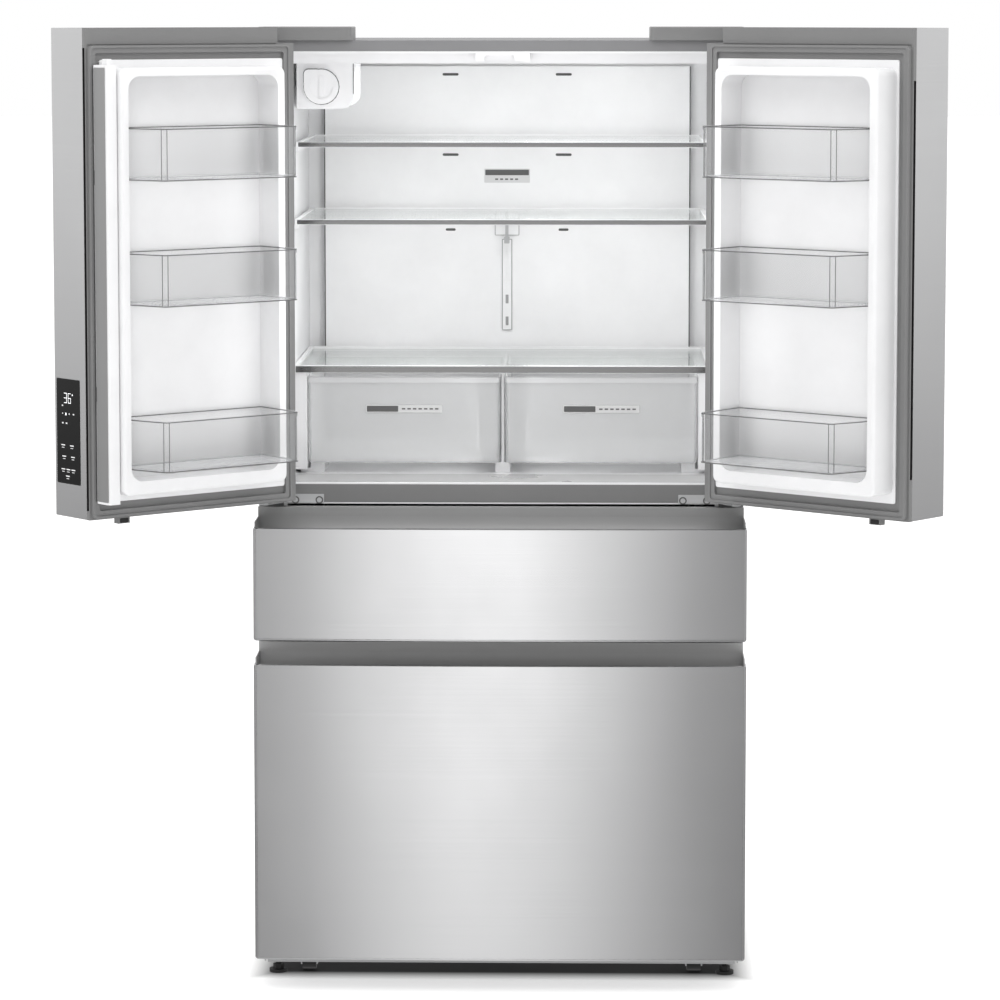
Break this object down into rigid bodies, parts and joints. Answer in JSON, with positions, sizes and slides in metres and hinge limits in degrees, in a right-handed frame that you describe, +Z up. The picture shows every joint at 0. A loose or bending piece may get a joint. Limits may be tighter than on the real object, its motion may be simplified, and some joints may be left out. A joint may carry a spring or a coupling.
{
  "type": "french door refrigerator",
  "caption": "Free-standing French door refrigerator with open doors, clear door bins, glass shelves, crispers, and bottom drawers with scoop grips.",
  "frame": {"origin": "on the floor, under the middle of the object's box with both doors open", "axes": "+Z up, +X to the right seen from the front, +Y from the front towards the back"},
  "size_m": [1.5801, 1.1824, 1.781],
  "materials": {
    "brushed_stainless": "vertical brushed grain, satin",
    "grey_frame": "moulded grey, satin",
    "grey_cabinet_paint": "fine textured paint",
    "white_liner": "smooth white, soft gloss",
    "duct_white": "smooth off-white, soft gloss",
    "dark_trim": "brushed dark metal trim",
    "shelf_glass": "clear tempered glass",
    "clear_plastic": "clear moulded plastic",
    "frosted_plastic": "lightly frosted clear plastic",
    "gasket_grey": "soft matte grey",
    "panel_plastic": "off-white inner panel over foam",
    "foam": "rigid insulation foam",
    "zinc_steel": "zinc-plated sheet steel",
    "black_glass": "black glass touch panel",
    "black_paint": "semi-gloss black paint",
    "coil_aluminium": "bare aluminium fins and tubes",
    "black_plastic": "matte black plastic"
  },
  "bodies": {
    "cabinet": {"cabinet_wrapper": "grey_cabinet_paint", "insulation_foam": "foam", "back_panel": "zinc_steel", "front_rails": "grey_frame", "fresh_food_liner": "white_liner", "drawer_liners": "white_liner", "air_duct_panel": "duct_white", "shelf_ladder": "duct_white", "striker_guide": "white_liner", "filter_housing": "white_liner", "upper_shelf_frame": "dark_trim", "lower_shelf_frame": "duct_white", "shelf_glass": "shelf_glass", "crisper_cover_frame": "dark_trim", "crisper_supports": "white_liner", "hinge_plates": "zinc_steel", "hinge_covers": "grey_frame", "hinge_screws": "zinc_steel", "slide_channels": "zinc_steel", "base_frame": "zinc_steel", "levelling_feet": "black_plastic", "compressor": "black_paint", "condenser_unit": "coil_aluminium", "compressor_cover": "zinc_steel", "power_inlet": "black_plastic", "evaporator_cover": "duct_white", "evaporator": "coil_aluminium"},
    "left_door": {"left_door_skin": "brushed_stainless", "left_door_frame": "grey_frame", "left_door_foam": "foam", "left_door_liner": "white_liner", "left_door_gasket": "gasket_grey", "left_door_bins": "clear_plastic", "control_panel": "black_glass"},
    "right_door": {"right_door_skin": "brushed_stainless", "right_door_frame": "grey_frame", "right_door_foam": "foam", "right_door_liner": "white_liner", "right_door_gasket": "gasket_grey", "right_door_bins": "clear_plastic"},
    "flipper": {"flipper_mullion": "white_liner"},
    "upper_drawer": {"upper_drawer_front": "brushed_stainless", "upper_drawer_handle": "grey_frame", "upper_drawer_panel": "panel_plastic", "upper_drawer_gasket": "gasket_grey", "upper_drawer_basket": "frosted_plastic", "upper_drawer_slides": "zinc_steel"},
    "freezer_drawer": {"freezer_drawer_front": "brushed_stainless", "freezer_drawer_handle": "grey_frame", "freezer_drawer_panel": "panel_plastic", "freezer_drawer_gasket": "gasket_grey", "freezer_drawer_basket": "frosted_plastic", "freezer_drawer_slides": "zinc_steel"},
    "left_crisper": {"left_crisper": "frosted_plastic"},
    "right_crisper": {"right_crisper": "frosted_plastic"},
    "water_filter": {"water_filter": "white_liner"},
    "condenser_fan": {"condenser_fan": "black_plastic"},
    "evaporator_fan": {"evaporator_fan": "black_plastic"},
    "front_rollers": {"front_rollers": "black_plastic"},
    "rear_rollers": {"rear_rollers": "black_plastic"}
  },
  "joints": [
    {"name": "left_door_hinge", "type": "hinge", "parent": "cabinet", "child": "left_door", "pos_m": [-0.4335, -0.20257, 0.916], "axis": [0, 0, 1], "range_deg": [0, 139.5]},
    {"name": "right_door_hinge", "type": "hinge", "parent": "cabinet", "child": "right_door", "pos_m": [0.4335, -0.20257, 0.916], "axis": [0, 0, -1], "range_deg": [0, 141]},
    {"name": "flipper_pivot", "type": "hinge", "parent": "left_door", "child": "flipper", "pos_m": [-0.69691, -0.53577, 0.947], "axis": [0, 0, -1], "range_deg": [0, 90]},
    {"name": "upper_drawer_slide", "type": "slide", "parent": "cabinet", "child": "upper_drawer", "axis": [0, 1, 0], "range_m": [-0.4, 0]},
    {"name": "freezer_drawer_slide", "type": "slide", "parent": "cabinet", "child": "freezer_drawer", "axis": [0, 1, 0], "range_m": [-0.38, 0]},
    {"name": "left_crisper_slide", "type": "slide", "parent": "cabinet", "child": "left_crisper", "axis": [0, 1, 0], "range_m": [-0.32, 0]},
    {"name": "right_crisper_slide", "type": "slide", "parent": "cabinet", "child": "right_crisper", "axis": [0, 1, 0], "range_m": [-0.32, 0]},
    {"name": "filter_turn", "type": "hinge", "parent": "cabinet", "child": "water_filter", "pos_m": [-0.339, -0.01197, 1.6685], "axis": [0, -1, 0], "range_deg": [0, 90]},
    {"name": "condenser_fan_spin", "type": "hinge", "parent": "cabinet", "child": "condenser_fan", "pos_m": [0.03, 0.46843, 0.165], "axis": [1, 0, 0], "continuous": true},
    {"name": "evaporator_fan_spin", "type": "hinge", "parent": "cabinet", "child": "evaporator_fan", "pos_m": [0, 0.46443, 0.545], "axis": [0, 1, 0], "continuous": true},
    {"name": "front_rollers_spin", "type": "hinge", "parent": "cabinet", "child": "front_rollers", "pos_m": [0, -0.07657, 0.021], "axis": [1, 0, 0], "continuous": true},
    {"name": "rear_rollers_spin", "type": "hinge", "parent": "cabinet", "child": "rear_rollers", "pos_m": [0, 0.53343, 0.021], "axis": [1, 0, 0], "continuous": true}
  ]
}
